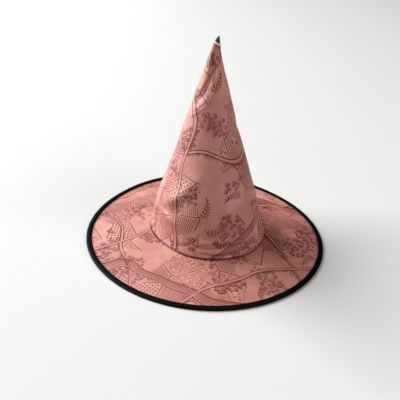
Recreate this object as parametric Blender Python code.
"""A soft cloth witch hat that stands on its own brim.

Units are metres and +Z is up. The origin lies on the floor under the middle of the brim.
The hat's front faces -Y, so an angle of -90 degrees is the front, 0 is the right side,
90 is the back and 180 is the left side.

The hat has five pieces: a hollow cone of cloth, a ring of cloth for the brim, a tape folded
round the brim's edge, and at the very top a pale band with a dark end.
"""

import math

import bmesh
import bpy

# Main sizes
BRIM_DIAMETER = 0.380
HEAD_OPENING_DIAMETER = 0.184
HAT_HEIGHT = 0.326
SEAM_HEIGHT = 0.018
CLOTH = 0.0012
GAP = 0.0003

# Tape round the brim's edge
TAPE_WIDTH = 0.0080
TAPE_WALL = 0.0010
TAPE_ARC_STEPS = 4

# Brim
FLAT_EDGE_WIDTH = TAPE_WIDTH + 0.0015
HEM_ALLOWANCE = 0.008
HEM_ROWS = 4
BRIM_ROWS = 9
BRIM_CURVE = 0.88

# Top of the crown
BAND_HEIGHT = 0.0032
BAND_TAPER = 0.0004
TIP_END_HEIGHT = 0.0090
TIP_END_RADIUS = 0.0034
TIP_STEM_LENGTH = 0.0060
TIP_SLANT = -0.40
TIP_SLANT_REACH = 0.030

# How finely the shapes are divided
SIDES = 60
CROWN_ROWS = 24
TIP_SIDES = 16
PATH_STEPS = 12
SHARP_EDGE_DEGREES = 50

# The part of a half wave that is cut off at each end of a fold, so that it fades but doesn't vanish
FOLD_END_CUT = 0.12

# Sizes that follow from the ones above
BRIM_RADIUS = BRIM_DIAMETER / 2
FOOT_RADIUS = HEAD_OPENING_DIAMETER / 2
CROWN_HEIGHT = HAT_HEIGHT - SEAM_HEIGHT
TAPE_THICKNESS = 2 * TAPE_WALL + 2 * GAP + CLOTH
CROWN_CLOTH_TOP = HAT_HEIGHT - TIP_END_HEIGHT - GAP - BAND_HEIGHT - GAP

# The crown is almost a straight cone, a little full below its middle and blunt at the top.
CROWN_SECTIONS = (
    # share of the crown's height, share of the foot's radius, shift to the right
    (0.000, 1.000, 0.0012),
    (0.045, 0.955, 0.0006),
    (0.120, 0.896, -0.0008),
    (0.218, 0.816, -0.0014),
    (0.315, 0.706, -0.0013),
    (0.412, 0.593, -0.0015),
    (0.510, 0.489, -0.0024),
    (0.607, 0.396, -0.0031),
    (0.705, 0.300, -0.0031),
    (0.792, 0.212, -0.0031),
    (0.867, 0.136, -0.0029),
    (0.932, 0.074, -0.0025),
    (0.974, 0.043, -0.0018),
    (1.000, 0.010, -0.0006),
)

# Soft hollows pushed into the crown. A negative depth is a swelling.
CROWN_DENTS = (
    # angle, share of height, depth, half width in degrees, half height as a share
    (-142, 0.02, 0.0060, 24, 0.120),
    (-48, 0.03, -0.0040, 26, 0.110),
    (-88, 0.00, -0.0024, 22, 0.025),
    (-150, 0.30, 0.0026, 20, 0.090),
    (-146, 0.176, 0.0038, 9, 0.030),
    (-100, 0.20, -0.0022, 20, 0.070),
    (-31, 0.26, 0.0036, 13, 0.060),
    (-62, 0.12, 0.0024, 11, 0.040),
    (-6, 0.57, 0.0014, 14, 0.022),
    (-8, 0.51, -0.0010, 16, 0.028),
    (-20, 0.42, -0.0012, 22, 0.050),
    (60, 0.30, 0.0030, 22, 0.120),
    (120, 0.16, 0.0028, 20, 0.090),
)

# Long folds in the crown, each along a curve through three places. A negative depth is a ridge.
CROWN_FOLDS = (
    # angle and share of height at the start, the middle and the end, depth, half width
    ((-122, 0.950), (-139, 0.850), (-164, 0.700), -0.0017, 0.0050),
    ((-88, 0.930), (-104, 0.790), (-158, 0.672), 0.0024, 0.0052),
    ((-58, 0.880), (-86, 0.770), (-170, 0.628), -0.0021, 0.0060),
    ((-50, 0.800), (-92, 0.700), (-168, 0.585), 0.0014, 0.0070),
    ((-20, 0.930), (-30, 0.850), (-38, 0.760), 0.0013, 0.0050),
    ((-166, 0.430), (-118, 0.485), (-72, 0.510), 0.0013, 0.0080),
    ((-112, 0.350), (-130, 0.270), (-152, 0.188), -0.0026, 0.0100),
    ((-156, 0.158), (-142, 0.142), (-124, 0.122), -0.0022, 0.0050),
    ((-166, 0.190), (-167, 0.110), (-163, 0.035), -0.0020, 0.0045),
    ((-174, 0.150), (-176, 0.085), (-173, 0.025), 0.0022, 0.0050),
    ((-104, 0.013), (-80, 0.010), (-58, 0.014), 0.0026, 0.0034),
    ((-14, 0.220), (-18, 0.130), (-26, 0.050), 0.0024, 0.0075),
    ((-40, 0.190), (-52, 0.150), (-74, 0.110), -0.0016, 0.0070),
    ((30, 0.800), (44, 0.500), (36, 0.200), 0.0018, 0.0100),
    ((95, 0.820), (88, 0.560), (96, 0.300), 0.0018, 0.0100),
    ((150, 0.500), (142, 0.320), (150, 0.120), 0.0020, 0.0100),
)

# Soft wrinkles in the brim, along curves of angle and share of the way from the crown to the edge.
BRIM_FOLDS = (
    # angle and share of the way out at the start, the middle and the end, rise, half width
    ((20, 0.10), (2, 0.38), (-12, 0.72), 0.0020, 0.0060),
    ((30, 0.12), (12, 0.36), (-4, 0.66), -0.0016, 0.0060),
    ((4, 0.08), (-8, 0.30), (-20, 0.62), -0.0016, 0.0055),
    ((-8, 0.10), (-18, 0.30), (-24, 0.52), 0.0014, 0.0050),
    ((62, 0.30), (49, 0.64), (40, 0.80), 0.0026, 0.0065),
    ((52, 0.16), (40, 0.46), (30, 0.72), -0.0018, 0.0070),
    ((150, 0.10), (156, 0.30), (160, 0.60), 0.0016, 0.0060),
    ((164, 0.08), (168, 0.26), (176, 0.50), -0.0014, 0.0060),
    ((128, 0.40), (134, 0.70), (140, 0.86), 0.0014, 0.0070),
    ((-79, 0.55), (-78, 0.74), (-77, 0.92), -0.0007, 0.0050),
    ((-71, 0.55), (-70, 0.74), (-69, 0.92), 0.0007, 0.0050),
)

# Where the brim's edge stands clear of the floor.
EDGE_LIFTS = (
    # angle, rise, half width in degrees
    (112, 0.0070, 21),
    (74, 0.0034, 17),
)

# The dark end above its shoulder
TIP_END_SECTIONS = (
    # share of its height, share of its radius, share of the slant
    (0.00, 1.00, 1.0),
    (0.45, 0.72, 0.5),
    (0.88, 0.32, 0.0),
)

# Colours as linear red, green and blue, then roughness
PRINTED_CLOTH = (0.56, 0.26, 0.22)
CLOTH_ROUGHNESS = 0.58
BLACK_TAPE = (0.008, 0.009, 0.008)
TAPE_ROUGHNESS = 0.50
PALE_BAND = (0.66, 0.62, 0.62)
BAND_ROUGHNESS = 0.70
DARK_END = (0.055, 0.036, 0.045)
END_ROUGHNESS = 0.60


def clear_scene():
    for item in list(bpy.data.objects):
        bpy.data.objects.remove(item, do_unlink=True)


def plain_material(name, color, roughness):
    material = bpy.data.materials.new(name)
    material.use_nodes = True
    shader = material.node_tree.nodes["Principled BSDF"]
    shader.inputs["Base Color"].default_value = (*color, 1.0)
    shader.inputs["Roughness"].default_value = roughness
    shader.inputs["Metallic"].default_value = 0.0
    return material


def smooth_value(table, column, share):
    """Reads one column of a table of sections at any height, on a smooth curve through its rows."""
    last = len(table) - 1
    row = 0
    while row < last - 1 and share > table[row + 1][0]:
        row += 1
    start, end = table[row], table[row + 1]
    before = table[max(row - 1, 0)]
    after = table[min(row + 2, last)]
    span = end[0] - start[0]
    t = (share - start[0]) / span
    slope_in = (end[column] - before[column]) / (end[0] - before[0]) * span
    slope_out = (after[column] - start[column]) / (after[0] - start[0]) * span
    return (
        (2 * t**3 - 3 * t**2 + 1) * start[column]
        + (t**3 - 2 * t**2 + t) * slope_in
        + (3 * t**2 - 2 * t**3) * end[column]
        + (t**3 - t**2) * slope_out
    )


def turn_between(angle, other):
    """The shortest turn from one angle to another, in degrees."""
    return (angle - other + 180) % 360 - 180


def bell(distance, half_width):
    return math.exp(-0.5 * (distance / half_width) ** 2)


def along_path(start, middle, end, t):
    """A place on the smooth curve that passes through three places, at t from 0 to 1."""
    bend = [2 * m - (s + e) / 2 for s, m, e in zip(start, middle, end)]
    return [
        (1 - t) ** 2 * s + 2 * t * (1 - t) * b + t**2 * e
        for s, b, e in zip(start, bend, end)
    ]


def fold_depth(folds, angle, share, radius, length):
    """How far the folds move a place on the cloth. length is what a share of 1 measures."""
    total = 0.0
    for start, middle, end, depth, half_width in folds:
        nearest = None
        for step in range(PATH_STEPS + 1):
            t = step / PATH_STEPS
            path_angle, path_share = along_path(start, middle, end, t)
            across = math.radians(turn_between(angle, path_angle)) * radius
            away = math.hypot(across, (share - path_share) * length)
            if nearest is None or away < nearest[0]:
                nearest = (away, t)
        away, t = nearest
        fade = math.sin(math.pi * (FOLD_END_CUT + (1 - 2 * FOLD_END_CUT) * t))
        total += depth * fade * bell(away, half_width)
    return total


def dent_depth(angle, share):
    total = 0.0
    for middle_angle, middle_share, depth, half_angle, half_share in CROWN_DENTS:
        around = bell(turn_between(angle, middle_angle), half_angle)
        total += depth * around * bell(share - middle_share, half_share)
    return total


def crown_radius(angle, share):
    """The outer radius of the crown's cloth, with its hollows and folds."""
    plain = smooth_value(CROWN_SECTIONS, 1, share) * FOOT_RADIUS
    folds = fold_depth(CROWN_FOLDS, angle, share, plain, CROWN_HEIGHT)
    return plain - dent_depth(angle, share) - folds


def crown_point(angle, share, inset=0.0):
    """A place on the crown, moved inwards by inset."""
    radius = crown_radius(angle, share) - inset
    turn = math.radians(angle)
    x = radius * math.cos(turn) + smooth_value(CROWN_SECTIONS, 2, share)
    y = radius * math.sin(turn)
    height = SEAM_HEIGHT + share * CROWN_HEIGHT
    reach = CROWN_CLOTH_TOP - height
    slant = TIP_SLANT * x * max(0.0, 1 - abs(reach) / TIP_SLANT_REACH)
    return (x, y, height + slant)


def edge_lift(angle):
    return sum(rise * bell(turn_between(angle, place), half) for place, rise, half in EDGE_LIFTS)


def brim_point(angle, share, inset=0.0, drop=0.0):
    """A place on the brim's upper side, from share 0 at the crown to share 1 where its flat edge starts."""
    seam_x, seam_y, seam_z = crown_point(angle, 0.0, inset)
    turn = math.radians(angle)
    outer = BRIM_RADIUS - FLAT_EDGE_WIDTH
    x = seam_x + (outer * math.cos(turn) - seam_x) * share
    y = seam_y + (outer * math.sin(turn) - seam_y) * share
    edge_top = TAPE_WALL + GAP + CLOTH + edge_lift(angle)
    fall = share**BRIM_CURVE
    height = (seam_z - GAP) * (1 - fall) + edge_top * fall
    freedom = math.sqrt(max(0.0, math.sin(math.pi * share)))
    folds = fold_depth(BRIM_FOLDS, angle, share, math.hypot(x, y), outer - FOOT_RADIUS)
    return (x, y, height + folds * freedom - drop)


def ring_solid(name, rings, material):
    """One closed body from rings that follow its section all the way round."""
    mesh = bmesh.new()
    rows = [[mesh.verts.new(point) for point in ring] for ring in rings]
    for row, next_row in zip(rows, rows[1:] + rows[:1]):
        for i in range(len(row)):
            j = (i + 1) % len(row)
            mesh.faces.new((row[i], row[j], next_row[j], next_row[i]))
    return finish_mesh(name, mesh, material)


def pointed_solid(name, rings, bottom, top, material):
    """One closed body from rings, closed by a point at each end."""
    mesh = bmesh.new()
    rows = [[mesh.verts.new(point) for point in ring] for ring in rings]
    for row, next_row in zip(rows, rows[1:]):
        for i in range(len(row)):
            j = (i + 1) % len(row)
            mesh.faces.new((row[i], row[j], next_row[j], next_row[i]))
    for row, point in ((rows[0], bottom), (rows[-1], top)):
        middle = mesh.verts.new(point)
        for i in range(len(row)):
            mesh.faces.new((row[i], row[(i + 1) % len(row)], middle))
    return finish_mesh(name, mesh, material)


def finish_mesh(name, mesh, material):
    bmesh.ops.recalc_face_normals(mesh, faces=mesh.faces)
    data = bpy.data.meshes.new(name)
    mesh.to_mesh(data)
    mesh.free()
    data.shade_smooth()
    data.set_sharp_from_angle(angle=math.radians(SHARP_EDGE_DEGREES))
    data.materials.append(material)
    item = bpy.data.objects.new(name, data)
    bpy.context.scene.collection.objects.link(item)
    return item


def ring_angles(sides):
    return [360 * i / sides for i in range(sides)]


def make_crown(material):
    """The hollow cone of cloth: rings up its outside, then down its inside."""
    top_share = (CROWN_CLOTH_TOP - SEAM_HEIGHT) / CROWN_HEIGHT
    hem_share = HEM_ALLOWANCE / CROWN_HEIGHT
    row_share = (top_share - hem_share) / (CROWN_ROWS - 1)
    shares = [hem_share * row / HEM_ROWS for row in range(HEM_ROWS)]
    shares += [hem_share + row_share * row for row in range(CROWN_ROWS)]
    angles = ring_angles(SIDES)
    outside = [[crown_point(angle, share) for angle in angles] for share in shares]
    inside = [[crown_point(angle, share, CLOTH) for angle in angles] for share in reversed(shares)]
    return ring_solid("crown", outside + inside, material)


def make_brim(material):
    """The cloth ring: down the hem inside the crown's foot, out along the top, and back underneath."""
    angles = ring_angles(SIDES)
    hem_inset = CLOTH + GAP
    rises = [HEM_ALLOWANCE * (HEM_ROWS - row) / HEM_ROWS for row in range(HEM_ROWS)]
    shares = [row / (BRIM_ROWS - 1) for row in range(BRIM_ROWS)]
    edge_radius = BRIM_RADIUS - TAPE_WALL - GAP

    def hem_ring(rise, inset):
        return [crown_point(angle, rise / CROWN_HEIGHT, inset) for angle in angles]

    def flat_ring(share, inset, drop):
        return [brim_point(angle, share, inset, drop) for angle in angles]

    def edge_ring(drop):
        return [
            (
                edge_radius * math.cos(math.radians(angle)),
                edge_radius * math.sin(math.radians(angle)),
                brim_point(angle, 1.0)[2] - drop,
            )
            for angle in angles
        ]

    top = [hem_ring(rise, hem_inset) for rise in rises]
    top += [flat_ring(share, hem_inset, 0.0) for share in shares]
    under = [flat_ring(share, hem_inset + CLOTH, CLOTH) for share in reversed(shares)]
    under += [hem_ring(rise, hem_inset + CLOTH) for rise in reversed(rises)]
    return ring_solid("brim", top + [edge_ring(0.0), edge_ring(CLOTH)] + under, material)


def tape_section():
    """The tape's cut face, as distance from the middle and height: round outside, with a slot inside."""
    lip = BRIM_RADIUS - TAPE_WIDTH
    slot_end = BRIM_RADIUS - TAPE_WALL
    bead = TAPE_THICKNESS / 2
    points = [(lip, TAPE_THICKNESS)]
    for step in range(TAPE_ARC_STEPS + 1):
        turn = math.radians(90 - 180 * step / TAPE_ARC_STEPS)
        points.append((BRIM_RADIUS - bead + bead * math.cos(turn), bead + bead * math.sin(turn)))
    points.append((lip, 0.0))
    points.append((lip, TAPE_WALL))
    points.append((slot_end, TAPE_WALL))
    points.append((slot_end, TAPE_THICKNESS - TAPE_WALL))
    points.append((lip, TAPE_THICKNESS - TAPE_WALL))
    return points


def make_edge_binding(material):
    rings = []
    for radius, height in tape_section():
        ring = []
        for angle in ring_angles(SIDES):
            turn = math.radians(angle)
            ring.append((radius * math.cos(turn), radius * math.sin(turn), height + edge_lift(angle)))
        rings.append(ring)
    return ring_solid("edge_binding", rings, material)


def tip_ring(height, radius, slant=TIP_SLANT):
    """A small ring at the crown's top, tilted down to the right by slant."""
    share = (height - SEAM_HEIGHT) / CROWN_HEIGHT
    middle = smooth_value(CROWN_SECTIONS, 2, share)
    ring = []
    for angle in ring_angles(TIP_SIDES):
        x = middle + radius * math.cos(math.radians(angle))
        y = radius * math.sin(math.radians(angle))
        ring.append((x, y, height + slant * x))
    return ring


def ring_middle(ring):
    return tuple(sum(point[axis] for point in ring) / len(ring) for axis in range(3))


def tip_wall_radius():
    """The crown's outer radius where its cloth ends."""
    share = (CROWN_CLOTH_TOP - SEAM_HEIGHT) / CROWN_HEIGHT
    return smooth_value(CROWN_SECTIONS, 1, share) * FOOT_RADIUS


def make_tip_band(material):
    low = CROWN_CLOTH_TOP + GAP
    high = low + BAND_HEIGHT
    outer = tip_wall_radius()
    hole = outer - CLOTH
    rings = [
        tip_ring(low, outer),
        tip_ring(high, outer - BAND_TAPER),
        tip_ring(high, hole),
        tip_ring(low, hole),
    ]
    return ring_solid("tip_band", rings, material)


def make_tip_end(material):
    """The dark end: a stem inside the band and the crown, a shoulder on the band, and a blunt point."""
    stem = tip_wall_radius() - CLOTH - GAP
    shoulder = CROWN_CLOTH_TOP + GAP + BAND_HEIGHT + GAP
    stem_bottom = shoulder - GAP - BAND_HEIGHT - TIP_STEM_LENGTH
    rings = [tip_ring(stem_bottom, stem), tip_ring(shoulder, stem)]
    for height, radius, slant in TIP_END_SECTIONS:
        level = shoulder + height * TIP_END_HEIGHT
        rings.append(tip_ring(level, radius * TIP_END_RADIUS, slant * TIP_SLANT))
    bottom = ring_middle(rings[0])
    top = (ring_middle(rings[-1])[0], 0.0, HAT_HEIGHT)
    return pointed_solid("tip_end", rings, bottom, top, material)


def make_hat():
    clear_scene()
    cloth = plain_material("printed_cloth", PRINTED_CLOTH, CLOTH_ROUGHNESS)
    make_crown(cloth)
    make_brim(cloth)
    make_edge_binding(plain_material("black_tape", BLACK_TAPE, TAPE_ROUGHNESS))
    make_tip_band(plain_material("pale_band", PALE_BAND, BAND_ROUGHNESS))
    make_tip_end(plain_material("dark_end", DARK_END, END_ROUGHNESS))


make_hat()
